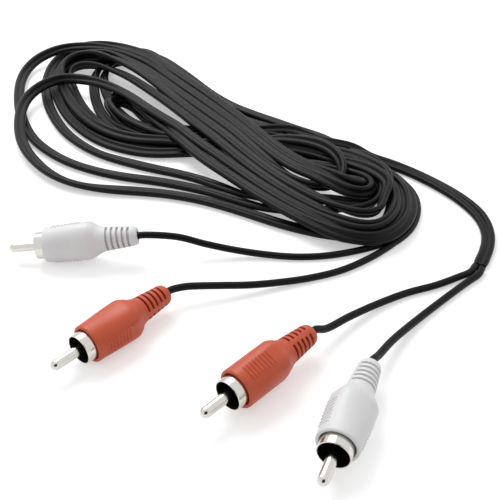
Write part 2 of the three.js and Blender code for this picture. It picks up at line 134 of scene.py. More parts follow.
BAR_FIRST = 6.2
BAR_DRAFT = 0.1
TURN_STEPS = 96

# Cable
LEAD_RADIUS = 1.2
LEAD_PITCH = 2.7  # between two leads just before they join
PLUG_STRAIGHT = 2.0
SPLIT_STRAIGHT = 2.5
TWIN_START = 0.3  # from the split to the twin's first point
JOIN = 1.5  # how far a lead runs on past the split
JOIN_SINK = 0.03  # how much nearer the twin's middle it ends than the twin's own lobe
END_SIZE = 0.88  # of the twin's end rings
LEAD_IN = 0.05  # how far a lead reaches into its boot's mouth
STEP = 2.0  # between two rings of the twin cable
LEAD_STEP = 1.2
CURVE_STEP = 0.5
CRISP_END = math.radians(60)  # edges of the cables' end faces are sharper than this
JACKET_SHEEN = 0.13

# How the turns of the twin cable lie. Smoothing is counted in rings.
LAYER = 2 * LEAD_RADIUS  # one flat cable on another
LEAST_SPACING = 3.0  # between two points of the winding; nearer ones are left out
FIRST_SMOOTHING = 2.5
EDGE_ROLL = math.radians(72)  # of the flat cable in its tightest bends
HALF_ROLL_BEND = 34.0  # bend radius at which it is rolled half of that
ROLL_SMOOTHING = 4
ROLL_LENGTH = 25.0  # over which the roll comes in at each end
ROLL_WAIT = 0.2  # share of that length that stays flat
REACH = 5.5  # strands that pass nearer than this, seen from above, may touch
NEXT_STRAND = 14.0  # nearest place along the cable that counts as another strand
PACKING = 0.85  # share of their full width that two strands keep side by side
STACKING = 0.92  # share of their full height that they keep on each other
CROSSING_STEP = 1.0  # difference of the planned heights where strands cross
DEEP_OVERLAP = 1.6  # beyond which one strand climbs on the other
ROUNDS = 60
LIFT_RATE = 0.3
SLIDE_RATE = 0.25
SAG_RATE = 0.05
SAG_FROM = 0.5  # above the planned height
HELD_ENDS = 8  # rings at each end that stay where they are
HEIGHT_SMOOTHING = 1.5
SLIDE_SMOOTHING = 2
LAST_SMOOTHING = 1.5
LAST_HEIGHT_SMOOTHING = 1.2

# Stage, in metres
SENSOR_WIDTH = 36
TABLE_HALF = 3
TABLE_GLOW = 0.42
LAMP_SIZE = 0.5
LAMP_PLACE = (-0.25, 0.45, 0.7)
CARD_HALF = 0.25
CARD_PLACE = (0.05, -0.5, 0.3)

# Where the two leads of each end join into the flat twin cable
SPLITS = {
    "left_end": {"x": 59.5, "y": -30.6, "heading": 43},
    "right_end": {"x": 86.8, "y": -45.7, "heading": 57},
}

# Routes of the single leads, from each plug to the place where they join
LEADS = {
    "white_left": {"split": "left_end", "side": 1, "route": [
        (-13.5, -36.9, 8.3), (-4, -36.7, 5.2), (6, -36.9, 2.8), (16, -37.6, 1.5),
        (26.2, -38.6, 1.2), (36.3, -38.1, 1.2), (46.4, -35.6, 1.2)]},
    "red_left": {"split": "left_end", "side": -1, "route": [
        (-9.6, -60.4, 5.7), (-4.6, -59.2, 5.1), (1.8, -57.9, 4.2), (11, -56, 2.9),
        (21.1, -53.2, 1.8), (31.2, -50.1, 1.2), (41.3, -46.2, 1.2), (51.4, -39.6, 1.2)]},
    "red_right": {"split": "right_end", "side": 1, "route": [
        (33.6, -79.3, 4.9), (41.3, -72, 3.2), (51.2, -64.1, 1.7), (61.5, -58, 1.2),
        (71.6, -54, 1.2), (80, -49.6, 1.2)]},
    "white_right": {"split": "right_end", "side": -1, "route": [
        (47.6, -91.2, 5.2), (53, -82.9, 3.4), (61.8, -72.2, 1.6), (73.6, -60.4, 1.2),
        (82.6, -52, 1.2)]},
}

# Guides that the turns of the hank follow, with the height of the strand's middle there. Pairs
# bound a family of strands that lie side by side.
GUIDES = {
    "diagonal_far": [
        (-27.5, 104, 6.6), (-12, 83, 6.4), (2.5, 60, 6.5), (14.5, 38.5, 6.8), (26, 20, 7),
        (36.5, 8.5, 7), (44, 2.5, 7), (50, -3.5, 7)],
    "diagonal_near": [
        (-22, 38.5, 6.6), (-9, 21, 6.4), (3.5, 6, 6.3), (14.5, -7.5, 6.2), (25.5, -19, 6.2),
        (35.5, -28, 6.2), (43.5, -33, 6.2), (50, -35, 6.4)],
    "tip_inner": [
        (51, -4.5, 7), (55, -4, 6.5), (58, -1.5, 5.5), (59, 3, 5), (57.5, 7.5, 4.5),
        (54.5, 10.5, 4.2), (51, 12.5, 4), (47, 14, 4)],
    "tip_outer": [
        (55, -35, 6), (59.5, -31.5, 5.5), (64, -24.5, 5), (66, -13, 4.5), (66, -3, 4.2),
        (64.5, 6.5, 4), (60, 14, 4), (54, 20.5, 4)],
    "back_outer": [
        (50, 28, 3.7), (38.5, 41, 3), (26, 53, 3), (13, 62.5, 2.6), (2, 72, 2.5), (-8.5, 86, 2.5),
        (-17.5, 101, 2.5), (-27.5, 115.5, 2.5), (-36, 125, 3), (-46, 131.5, 3.4)],
    "back_inner": [
        (45, 23.5, 3.7), (34, 36, 3), (22, 48, 3), (9, 57.5, 2.6), (-2, 67.5, 2.5),
        (-12.5, 82, 2.5), (-21.5, 97, 2.5), (-31.5, 111.5, 2.5), (-39.5, 120.5, 3),
        (-48, 126.5, 3.4)],
    "under_far": [(-6, 48, 1.4), (11, 51, 1.4), (24, 48.5, 1.4), (36.5, 41, 1.4), (49, 31, 1.4)],
    "under_near": [(-6, 28, 1.4), (8, 27.5, 1.4), (22, 25, 1.4), (35, 20, 1.4), (47, 13, 1.4)],
    "lobe_outer": [
        (-18, 34, 1.8), (-26, 33.5, 1.7), (-34, 34.5, 1.7), (-42.5, 37.5, 1.6), (-51, 43, 1.6),
        (-58.5, 50.5, 1.6), (-65.5, 60, 1.6), (-71, 69.5, 1.8), (-75.5, 80, 2), (-80, 91.5, 2.2),
        (-82, 102, 3), (-82, 112, 4.2), (-78.5, 120, 5.4), (-72, 124, 6.4), (-62.5, 122, 6.8),
        (-50.5, 114.5, 6.8), (-37.5, 101.5, 6.8)],
    "lobe_inner": [
        (-18, 39.5, 2.2), (-26.5, 39.5, 2.2), (-35, 40, 2.2), (-42.5, 43, 2.2), (-49.5, 48, 2.2),
        (-56, 55.5, 2.2), (-61.5, 63.5, 2.2), (-66.5, 73.5, 2.2), (-71, 84.5, 2.4),
        (-75, 95.5, 2.8), (-77.5, 104, 3.6), (-76.5, 111, 5), (-73, 113.5, 6), (-67, 113, 6.4),
        (-58.5, 107.5, 6.6), (-47.5, 97.5, 6.6), (-35.5, 82, 6.6)],
}
LOOPS = {
    "first": [
        (47, -13, 5.5), (40, -13, 4.6), (33, -13.5, 3.6), (24, -13, 2.4), (14, -9.5, 1.5),
        (3.5, -2.5, 1.3), (-6, 3, 1.3), (-16, 7, 1.4), (-26, 10.5, 1.4), (-36, 12.5, 1.4),
        (-46.5, 16, 1.4), (-56, 20.5, 1.5), (-64, 25.5, 1.5), (-71, 32, 1.6), (-77.5, 39, 1.8),
        (-83.5, 48.5, 2), (-88.5, 59.5, 2), (-93, 73, 2), (-96.5, 87.5, 2), (-98.5, 102.5, 2.2),
        (-97, 116.5, 2.8), (-92, 125.5, 4.2), (-84, 129.5, 6), (-75, 131, 7), (-64.5, 129, 7.2),
        (-51.5, 122, 7), (-38.5, 112, 6.8)],
    "second": [
        (47, -6, 5), (40, -2, 4), (33, -1.5, 3.4), (24, -3.5, 2.4), (14.5, -3.5, 1.6),
        (5.5, 1.5, 1.4), (-6.5, 10, 1.4), (-16.5, 15.5, 1.4), (-25, 18.5, 1.4), (-33, 22, 1.4),
        (-41.5, 26, 1.4), (-50.5, 30.5, 1.4), (-58.5, 38, 1.4), (-65.5, 46, 1.5),
        (-71.5, 55.5, 1.5), (-76.5, 66, 1.5),
        (-81, 77, 1.5), (-84, 88.5, 1.6), (-86, 100, 1.8), (-87, 112, 2.2), (-85.5, 124, 3.2),
        (-82, 132.5, 5), (-76, 137, 6.6), (-69, 137.5, 7.2), (-60, 134, 7.2), (-50, 128, 7.2),
        (-39.5, 119.5, 6.8)],
    "eye_left": [
        (-54.5, 128.5, 3), (-60, 123.5, 2.4), (-63.5, 116, 1.9), (-64.5, 107.5, 1.6),
        (-63.5, 98.5, 1.6), (-61.5, 87.5, 1.6), (-58.5, 76, 1.6), (-54.5, 65.5, 1.8),
        (-49.5, 56, 2), (-43, 48.5, 2.4), (-36.5, 44, 2.6), (-27.5, 41.5, 2.4)],
    "eye_right": [
        (-52.5, 126, 3), (-57.5, 121, 2.4), (-59.5, 115, 1.9), (-60, 106, 1.6), (-58, 95, 1.6),
        (-55, 85, 1.6), (-51.5, 76, 1.6), (-47.5, 68, 1.7), (-42.5, 59.5, 1.8), (-37, 52, 2),
        (-30, 46, 2.2), (-23.5, 42, 2.2)],
    "front": [
        (44, -30, 1.7), (34, -25, 1.7), (23.5, -20.5, 1.6), (13, -14, 1.5), (1.5, -7.5, 1.5),
        (-8, -3, 1.5), (-17.5, 0, 1.5), (-27, 2, 1.5), (-37, 3, 1.5), (-46.5, 4, 1.5),
        (-55.5, 6, 1.7), (-63, 10, 2), (-69.5, 15.5, 2.6), (-75, 22.5, 3.2), (-80, 29.5, 3.8),
        (-84, 38.5, 4.2), (-87, 48, 4.6), (-89, 58.5, 5), (-90, 69, 5.2), (-88.5, 79, 5.4),
        (-85, 86.5, 5.8), (-80, 91, 6.2), (-73, 92, 6.6), (-66, 90, 7), (-59.5, 87.5, 7.3),
        (-52.5, 81.5, 7.3), (-45, 74, 7.3), (-38, 65.5, 7.3), (-30, 56, 7)],
    "small": [
        (-13, 38.5, 2), (-21, 40.5, 2), (-28, 43.5, 2), (-35.5, 48.5, 2.2), (-43, 55.5, 2.4),
        (-49, 63, 2.8), (-52.5, 70, 3.2), (-53, 76, 3.8), (-49.5, 79.5, 3.8), (-44.5, 77.5, 4),
        (-39, 69, 4.4), (-32, 57, 4.8)],
    "bight": [
        (-6, 40, 2), (8, 38, 3), (20, 36, 4.5), (27.5, 34, 5.6), (33.5, 31.5, 6.4), (39.5, 28, 6.6),
        (44.5, 22, 6.6), (47, 15, 6.2), (47.5, 8.5, 5), (45.5, 2.5, 4.5), (40.5, -1, 5)],
}
TAILS = {
    "left_end": [
        (66.6, -24.2, 1.2), (71.7, -12.3, 1.2), (73.4, -2, 1.2), (71.6, 7, 1.4), (66, 14.5, 2.6),
        (58, 22, 3.8)],
    "right_end": [
        (90, -40.2, 1.2), (93.9, -32.5, 1.2), (95.9, -22.4, 1.2), (94.7, -13, 1.2),
        (89.9, -2.2, 1.2), (81.4, 9.4, 1.2), (72, 19, 1.2), (61, 27, 1.4)],
}


def as_mesh(shape, name):
    """Turns a shape that is done into a mesh"""
    mesh = bpy.data.meshes.new(name)
    shape.to_mesh(mesh)
    shape.free()
    return mesh


def link(name, mesh):
    """A finished piece of the cable, with its place in its mesh"""
    piece = bpy.data.objects.new(name, mesh)
    bpy.context.scene.collection.objects.link(piece)
    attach(piece, BODY)
    return piece


# Routes


def even(points, step):
    """The same line with its points this far apart, seen from above"""
    run = np.linalg.norm(np.diff(points[:, :2], axis=0), axis=1)
    at = np.concatenate([[0], np.cumsum(run)])
    places = np.linspace(0, at[-1], int(round(at[-1] / step)) + 1)
    return np.stack([np.interp(places, at, column) for column in points.T], 1)


def blur(values, sigma):
    """Smooths numbers along a line; the two ends stay where they are"""
    reach = int(3 * sigma) + 1
    weight = np.exp(-0.5 * (np.arange(-reach, reach + 1) / sigma) ** 2)
    weight /= weight.sum()
    rows = values.reshape(len(values), -1)
    before = 2 * rows[0] - rows[reach:0:-1]
    after = 2 * rows[-1] - rows[-2:-reach - 2:-1]
    padded = np.vstack([before, rows, after])
    smooth = np.stack([np.convolve(column, weight, "valid") for column in padded.T], 1)
    return smooth.reshape(values.shape)


def smooth_line(points, step):
    """A centripetal Catmull-Rom curve through the points"""
    points = np.asarray(points, float)
    points = np.vstack([2 * points[0] - points[1], points, 2 * points[-1] - points[-2]])
    parts = []
    for i in range(1, len(points) - 2):
        p0, p1, p2, p3 = points[i - 1:i + 3]
        t0 = 0.0
        t1 = t0 + np.linalg.norm(p1 - p0) ** 0.5
        t2 = t1 + np.linalg.norm(p2 - p1) ** 0.5
        t3 = t2 + np.linalg.norm(p3 - p2) ** 0.5
        count = max(2, int(np.linalg.norm(p2 - p1) / CURVE_STEP))
        t = np.linspace(t1, t2, count, endpoint=False)[:, None]
        a1 = ((t1 - t) * p0 + (t - t0) * p1) / (t1 - t0)
        a2 = ((t2 - t) * p1 + (t - t1) * p2) / (t2 - t1)
        a3 = ((t3 - t) * p2 + (t - t2) * p3) / (t3 - t2)
        b1 = ((t2 - t) * a1 + (t - t0) * a2) / (t2 - t0)
        b2 = ((t3 - t) * a2 + (t - t1) * a3) / (t3 - t1)
        parts.append(((t2 - t) * b1 + (t - t1) * b2) / (t2 - t1))
    return even(np.vstack([*parts, points[-2]]), step)


def by_split(split, distance, left=0.0):
    """A point by the place where the leads part, this far along the twin and to its left"""
    heading = math.radians(split["heading"])
    return (
        split["x"] + distance * math.cos(heading) - left * math.sin(heading),
        split["y"] + distance * math.sin(heading) + left * math.cos(heading),
        LEAD_RADIUS,
    )


def lead_line(name):
    """A single lead's middle line, from its plug to the place where it joins its twin"""
    lead = LEADS[name]
    split = SPLITS[lead["split"]]
    left, inside = lead["side"] * LEAD_PITCH / 2, lead["side"] * (LEAD_RADIUS - JOIN_SINK)
    return smooth_line([
        on_axis(name, BOOT_END - LEAD_IN), on_axis(name, BOOT_END + PLUG_STRAIGHT), *lead["route"],
        by_split(split, -SPLIT_STRAIGHT, left), by_split(split, JOIN, inside)], LEAD_STEP)


# The winding of the twin cable

# Place of each strand between a family's two guides, at even steps along them
DIAGONAL = {
    1: (0, 0), 2: (.14, .17, .18, .18, .17), 3: (.29, .33, .34, .34, .33),
    4: (.44, .5, .5, .52, .58), 5: (.57, .66, .67, .69, .77), 6: (.86, .84, .84, .86, .92),
    7: (1, 1)}
TIP = {
    1: (0, 0, 0), 2: (.16, .1, .15), "second": (.1, .18, .27), "first": (.29, .36, .38),
    4: (.58, .6, .5), 5: (.79, .75, .65), 6: (.93, .88, .82), 7: (1, 1, 1),
    "front": (.87, .8, .75)}


def strand(inner, outer, share, lift=0.0):
    """A strand of a family: between its two guides, at these shares of the way"""
    inner, outer = np.array(GUIDES[inner], float), np.array(GUIDES[outer], float)
    share = np.atleast_1d(share)
    shares = np.interp(np.linspace(0, 1, len(inner)), np.linspace(0, 1, len(share)), share)
    return inner + (outer - inner) * shares[:, None] + (0, 0, lift)


def diagonal(number):
    """Over the hank, from its upper left to its tip"""
    return strand("diagonal_far", "diagonal_near", DIAGONAL[number])


def tip(number, lift=0.0):
    """Round the right end of the hank, from its front to its back"""
    return strand("tip_inner", "tip_outer", TIP[number], lift)


def under(share, lift=0.0):
    """Below the diagonal, from left to right"""
    return strand("under_far", "under_near", share, lift)


def back(share, lift=0.0):
    """Along the hank's back edge, from right to left"""
    return strand("back_outer", "back_inner", share, lift)


def lobe(share, lift=0.0):
    """Round the left end, from the hank's middle to the diagonal's upper end"""
    return strand("lobe_outer", "lobe_inner", share, lift)


def loop(name, lift=0.0):
    """A turn that no family of strands holds"""
    return np.array(LOOPS[name], float) + (0, 0, lift)


def winding():
    """The whole run of the twin cable, turn by turn, from the left plugs' end to the right's"""
    left, right = SPLITS["left_end"], SPLITS["right_end"]
    legs = [
        # from the left plugs, along the back edge and down the left of the two eyes
        [by_split(left, TWIN_START), by_split(left, SPLIT_STRAIGHT)], TAILS["left_end"],
        back(0), loop("eye_left"), under((.35, .3, .25)), tip("front", -LAYER)[::-1],
        # the front edge and the loop that lies over the others
        loop("front"), diagonal(6)[1:], tip(6), back(1)[1:],
        loop("eye_right"), under((.25, .45, .55)), tip("first")[::-1],
        loop("first"), diagonal(2), tip(2),
        # the small loop in the middle, which becomes the near edge of the diagonal
        under((.5, .75, .85))[::-1], loop("small"), diagonal(7)[1:], tip(7),
        back(.5, -1.2)[1:], lobe(.5)[-3::-1], under((.6, .7, .7)), tip("second")[::-1],
        loop("second"), diagonal(1), tip(1),
        under((.45, .8, 1), 1)[::-1], loop("small", LAYER)[:7], loop("small", -1)[7:],
        # the bight at the top, and the three turns of the left lobe
        loop("bight"), diagonal(3)[4::-1], lobe(0)[::-1], under((.9, .6, .5), LAYER),
        tip(4)[::-1], diagonal(4)[::-1], lobe(.5, LAYER)[::-1], under((.7, .4, .35), LAYER),
        tip(5)[::-1], diagonal(5)[::-1], lobe(1)[::-1], under((.4, .1, 0), LAYER),
        # out again along the back edge to the right plugs
        TAILS["right_end"][::-1],
        [by_split(right, SPLIT_STRAIGHT), by_split(right, TWIN_START)],
    ]
    run = np.vstack([np.asarray(leg, float) for leg in legs])
    kept = [run[0]]
    for point in run[1:]:
        if np.linalg.norm(point[:2] - kept[-1][:2]) > LEAST_SPACING:
            kept.append(point)
    return np.array(kept)


def close_pairs(line, reach):
    """Places along the line that pass near each other, seen from above"""
    first, second = [], []
    for i in range(len(line)):
        gap = np.linalg.norm(line[i + 1:] - line[i], axis=1)
        near = np.nonzero(gap < reach)[0] + i + 1
        near = near[near > i + int(NEXT_STRAND / STEP)]
        first.append(np.full(len(near), i))
        second.append(near)
    return np.concatenate(first), np.concatenate(second)


def add_up(size, where, amount):
    """Adds up what falls on each place of the line"""
    total = np.zeros((size, *amount.shape[1:]))
    np.add.at(total, where, amount)
    return total


def share_out(size, one, two, push, touching):
    """The mean push on each place: one way for the second of a pair, the other for the first"""
    moved = add_up(size, two, push) - add_up(size, one, push)
    count = add_up(size, two, touching * 1.0) + add_up(size, one, touching * 1.0)
    return (moved.T / np.maximum(count, 1)).T


def edge_roll(flat):
    """How far the flat cable rolls on edge in its bends; its two ends lie flat"""
    ahead = np.gradient(flat, STEP, axis=0)
    bend = np.gradient(ahead, STEP, axis=0)
    turn = np.abs(ahead[:, 0] * bend[:, 1] - ahead[:, 1] * bend[:, 0])
    curvature = blur(turn / np.linalg.norm(ahead, axis=1) ** 3, ROLL_SMOOTHING)
    tight = (HALF_ROLL_BEND * curvature) ** 2
    from_end = STEP * np.minimum(np.arange(len(flat)), np.arange(len(flat))[::-1])
    return EDGE_ROLL * tight / (1 + tight) * np.clip(from_end / ROLL_LENGTH - ROLL_WAIT, 0, 1)


def settle(line):
    """Rolls the flat cable on edge in its bends, then lets its strands push each other apart:
    up and down where they cross, sideways where they lie side by side"""
    flat, level = line[:, :2].copy(), line[:, 2].copy()
    roll = edge_roll(flat)
    wide, tall = LEAD_RADIUS * (1 + np.cos(roll)), LEAD_RADIUS * (1 + np.sin(roll))
    height = np.maximum(level, tall)
    one, two = close_pairs(flat, REACH)
    size = len(flat)
    for _ in range(ROUNDS):
        across = flat[two] - flat[one]
        gap = np.linalg.norm(across, axis=1) + 1e-6
        rise = height[two] - height[one]
        beside = PACKING * (wide[one] + wide[two]) - gap
        share = np.clip(1 - (gap / (wide[one] + wide[two])) ** 4, 0, 1) ** 0.5
        full = STACKING * (tall[one] + tall[two])
        above = full * share - np.abs(rise)
        touch = (beside > 0) & (above > 0)
        meant = level[two] - level[one]
        crossing = np.abs(meant) > CROSSING_STEP
        lift = touch & (crossing | (beside > DEEP_OVERLAP))
        way = np.where(crossing, np.sign(meant), np.where(rise >= 0, 1, -1))
        want = LIFT_RATE * lift * np.where(np.sign(rise) == way, above, full + np.abs(rise))
        raised = height + share_out(size, one, two, way * want, lift)
        height = np.maximum(blur(raised, HEIGHT_SMOOTHING), tall)
        height -= SAG_RATE * np.maximum(0, height - level - SAG_FROM)
        slide = touch & ~lift
        push = (SLIDE_RATE * beside * slide / gap)[:, None] * across
        moved = share_out(size, one, two, push, slide)
        moved[:HELD_ENDS] = moved[-HELD_ENDS:] = 0
        flat += blur(moved, SLIDE_SMOOTHING)
    flat = blur(flat, LAST_SMOOTHING)
    height = np.maximum(blur(height, LAST_HEIGHT_SMOOTHING), tall)
    return np.column_stack([flat, height]), roll


def twin_line():
    """The middle line of the twin cable and how far it is rolled on edge at each point"""
    return settle(even(blur(smooth_line(winding(), STEP), FIRST_SMOOTHING), STEP))


# Cables, drawn along their lines


def sweep(name, line, section, roll, ends=1.0):
    """A closed tube with one ring of the section for each point of its line, its first and last
    rings this much smaller. Its UV map runs once round the cable, and along it in metres"""
    shape = bmesh.new()
    sheet = shape.loops.layers.uv.new("cable")
    ahead = np.gradient(line, axis=0)
    ahead /= np.linalg.norm(ahead, axis=1)[:, None]
    run = np.concatenate([[0], np.cumsum(np.linalg.norm(np.diff(line, axis=0), axis=1))]) * MM
    rings = []
    for place, forward, angle in zip(line, ahead, roll):
        forward = Vector(forward)
        side = forward.cross(Vector((0, 0, 1))).normalized()
        up = side.cross(forward)
        turned_by = Matrix.Rotation(angle, 3, forward)
        side, up = turned_by @ side, turned_by @ up
        centre = Vector(place)
        size = 1.0 if 0 < len(rings) < len(line) - 1 else ends
        ring = [centre + (side * u + up * v) * size for u, v in section]
        rings.append([shape.verts.new(corner * MM) for corner in ring])
    count = len(section)
    for number, (one, two) in enumerate(zip(rings, rings[1:])):
        for i in range(count):
            j = (i + 1) % count
            face = shape.faces.new((one[i], one[j], two[j], two[i]))
            face.smooth = True
            corners = ((i, 0), (i + 1, 0), (i + 1, 1), (i, 1))
            for corner, (around, along) in zip(face.loops, corners):
                corner[sheet].uv = (around / count, run[number + along])
    shape.faces.new(rings[0][::-1])
    shape.faces.new(rings[-1])
    bmesh.ops.recalc_face_normals(shape, faces=shape.faces)
    mesh = as_mesh(shape, name)
    mesh.set_sharp_from_angle(angle=CRISP_END)
    return mesh


def in_metres(line):
    """The line's points in metres"""
    return [tuple(point * MM) for point in line]


def round_section(radius, around=20):
    """One lead's section, as (across, up) corners"""
    angles = [2 * math.pi * i / around for i in range(around)]
    return [(radius * math.cos(angle), radius * math.sin(angle)) for angle in angles]


def twin_section(radius, around=12, groove=39):
    """Two leads side by side, which meet in a groove on each face, as (across, up) corners"""
    right = np.radians(np.linspace(groove - 180, 180 - groove, around))
    left = np.radians(np.linspace(groove, 360 - groove, around))
    lobes = [(radius, angle) for angle in right] + [(-radius, angle) for angle in left]
    return [(at + radius * math.cos(angle), radius * math.sin(angle)) for at, angle in lobes]


# Shaders


class Value:
    """A number that varies over a surface; arithmetic on it adds Math nodes"""

    def __init__(self, nodes, socket):
        self.nodes = nodes
        self.socket = socket

    def math(self, operation, one, two):
        """Adds a Math node"""
        return self.nodes.add("ShaderNodeMath", {"operation": operation}, {0: one, 1: two})

    def __add__(self, other):
        return self.math("ADD", self, other)

    def __sub__(self, other):
        return self.math("SUBTRACT", self, other)

    def __rsub__(self, other):
        return self.math("SUBTRACT", other, self)

    def __mul__(self, other):
        return self.math("MULTIPLY", self, other)

    __radd__ = __add__
    __rmul__ = __mul__


class Nodes:
    """The nodes of one material or world"""

    def __init__(self, owner):
        owner.use_nodes = True
        self.tree = owner.node_tree

    def add(self, kind, settings=None, sockets=None, output=0):
        """Adds a node: first its settings, then the values or links of its sockets"""
        node = self.tree.nodes.new(kind)
        for key, value in (settings or {}).items():
            setattr(node, key, value)
        for key, value in (sockets or {}).items():
            self.put(node.inputs[key], value)
        return Value(self, node.outputs[output])

    def put(self, socket, value):
        """Links a varying value to a socket, or sets a plain one"""
        if isinstance(value, Value):
            self.tree.links.new(value.socket, socket)
        else:
            socket.default_value = value

    def noise(self, place, scale, detail=3.0, stretch=(1, 1, 1)):
        """Noise of about -0.5 to 0.5, this many waves to a metre"""
        placed = self.add("ShaderNodeMapping", None, {"Vector": place, "Scale": stretch})
        sockets = {"Vector": placed, "Scale": scale, "Detail": detail}
        return self.add("ShaderNodeTexNoise", None, sockets) - 0.5

    def blend(self, share, one, two):
        """A colour between two others"""
        return self.add(
            "ShaderNodeMix", {"data_type": "RGBA"}, {0: share, 6: one, 7: two}, output=2)

    def ramp(self, share, low, high):
        """0 below low, 1 above high, and smooth between them"""
        limits = {"Value": share, "From Min": low, "From Max": high}
        return self.add("ShaderNodeMapRange", {"interpolation_type": "SMOOTHSTEP"}, limits)


class Finish(Nodes):
    """A material whose colour, gloss and surface vary a little, as the real one's do"""

    def __init__(self, name):
        self.material = bpy.data.materials.new(name)
        super().__init__(self.material)
        self.shader = self.tree.nodes["Principled BSDF"]
        self.place = self.add("ShaderNodeTexCoord", output="Object")

    def along(self, name):
        """A measure of the piece's own, stored in its mesh"""
        return self.add("ShaderNodeAttribute", {"attribute_name": name}, output="Fac")

    def set(self, **sockets):
        """Sets the shader's sockets by their names"""
        for key, value in sockets.items():
            self.put(self.shader.inputs[key.replace("_", " ").title()], value)

    def bump(self, height, strength, depth):
        """Raises the surface by height times depth, in metres"""
        sockets = {"Height": height, "Strength": strength, "Distance": depth}
        self.put(self.shader.inputs["Normal"], self.add("ShaderNodeBump", None, sockets))


def shade(colour, factor):
    """A colour made darker or lighter"""
    return (*(channel * factor for channel in colour), 1)


def jacket_finish(name, colour, drawn=True):
    """Satin black jacket: faint lines along the cable where it was drawn through its die, a fine
    grain, and a little dust and skin grease that dulls its gloss in places"""
    finish = Finish(name)
    handled = finish.noise(finish.place, scale=55, detail=4)
    grain = finish.noise(finish.place, scale=2600, detail=2)
    finish.set(base_color=finish.blend(handled + 0.5, shade(colour, 0.8), shade(colour, 1.3)),
               roughness=0.36 + 0.16 * handled + 0.05 * grain)
    height = 0.5 * grain
    if drawn:
        on_cable = finish.add("ShaderNodeUVMap", {"uv_map": "cable"})
        lines = finish.noise(on_cable, scale=1, detail=2, stretch=(34, 9, 1))
        ripple = finish.noise(on_cable, scale=1, detail=1, stretch=(1.5, 240, 1))
        height = height + 1.1 * lines + 0.9 * ripple
    finish.bump(height, strength=0.5, depth=0.00005)
    finish.shader.inputs["Specular IOR Level"].default_value = JACKET_SHEEN
    return finish.material


def boot_finish(name, colour, slot_shade_colour):
    """Soft moulded plastic: matt from the tool's spark-eroded face, with flow marks, a polished
    sheen where fingers hold it, and a darker colour painted down in the slots as shade"""
    finish = Finish(name)
    flow = finish.noise(finish.place, scale=130, detail=4, stretch=(1, 0.5, 1))
    grain = finish.noise(finish.place, scale=3600, detail=3)
    # Down in the slots the base colour is darkened towards the slot colour: painted shade
    hollow = finish.along("hollow")
    worn = finish.ramp(finish.along("grip") + 0.5 * flow, low=0.55, high=0.95)
    skin = finish.blend(flow + 0.5, shade(colour, 0.92), shade(colour, 1.08))
    finish.set(base_color=finish.blend(hollow, skin, (*slot_shade_colour, 1)),
               roughness=0.47 + 0.14 * flow + 0.08 * grain - 0.07 * worn)
    finish.bump(grain + 0.6 * flow, strength=0.35, depth=0.00006)
    return finish.material


def nickel_finish(name, colour, roughness):
    """Bright nickel plate: fine rings from turning, hairlines from plugging in, dull specks"""
    finish = Finish(name)
    rings = finish.add("ShaderNodeTexNoise", {"noise_dimensions": "1D"},
                       {"W": finish.along("axis_place"), "Scale": 9.0, "Detail": 2.0}) - 0.5
    spots = finish.noise(finish.place, scale=900, detail=5)
    specks = finish.ramp(spots, low=0.12, high=0.3)
    scuffs = finish.noise(finish.place, scale=420, detail=5, stretch=(1, 0.25, 1))
    finish.set(base_color=finish.blend(specks * 0.5, shade(colour, 1), shade(colour, 0.6)),
               roughness=roughness + 0.14 * scuffs + 0.1 * specks, metallic=1.0)
    finish.bump(rings + 0.4 * scuffs, strength=0.3, depth=0.00002)
    return finish.material


def plain_finish(name, colour, roughness, grain_scale, metallic=0.0):
    """Moulded or drawn stock inside a plug, with a fine grain and small changes of colour"""
    finish = Finish(name)
    cloud = finish.noise(finish.place, scale=300)
    grain = finish.noise(finish.place, scale=grain_scale)
    finish.set(base_color=finish.blend(cloud + 0.5, shade(colour, 0.85), shade(colour, 1.12)),
               roughness=roughness + 0.2 * cloud, metallic=metallic)
    finish.bump(grain, strength=0.4, depth=0.00005)
    return finish.material


# Plugs


def smooth_step(low, high, at):
    """0 below low, 1 above high, and smooth between them"""
    share = min(1, max(0, (at - low) / (high - low)))
    return share * share * (3 - 2 * share)


def turned(profile, closed=False):
    """A piece turned on the plug's axis, from its (radius, place along the axis) corners"""
    shape = bmesh.new()
    corners = [shape.verts.new((radius, place, 0)) for radius, place in profile]
    edges = [shape.edges.new(pair) for pair in zip(corners, corners[1:])]
    if closed:
        edges.append(shape.edges.new((corners[-1], corners[0])))
    bmesh.ops.spin(shape, geom=corners + edges, cent=(0, 0, 0), axis=(0, 1, 0), dvec=(0, 0, 0),
                   angle=2 * math.pi, steps=TURN_STEPS, use_merge=True, use_duplicate=False)
    bmesh.ops.remove_doubles(shape, verts=shape.verts, dist=0.0001)
    bmesh.ops.recalc_face_normals(shape, faces=shape.faces)
    return shape


def rounded(corner, radius, start, steps=4):
    """A quarter circle of a profile; the angle is in degrees and rises by 90"""
    angles = [math.radians(start + 90 * i / steps) for i in range(steps + 1)]
    return [(corner[0] + radius * math.cos(a), corner[1] + radius * math.sin(a)) for a in angles]


def plug_place(name):
    """Turns and moves a plug from its own axis to where its collar lies in the frame"""
    plug = PLUGS[name]
    low, high = (Vector(corner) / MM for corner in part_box(f"{name}_collar"))
    turn = Matrix.Rotation(math.radians(plug["heading"] - 90), 4, "Z")
    turn @= Matrix.Rotation(math.radians(plug["tilt"]), 4, "X")
    turn @= Matrix.Rotation(math.radians(plug["roll"]), 4, "Y")
    middle = turn @ Vector((0, COLLAR_LENGTH / 2, 0))
    return Matrix.Translation((low + high) / 2 - middle) @ turn


def on_axis(name, y):
    """A point on a plug's axis, this far behind its collar rim"""
    return tuple(plug_place(name) @ Vector((0, y, 0)))


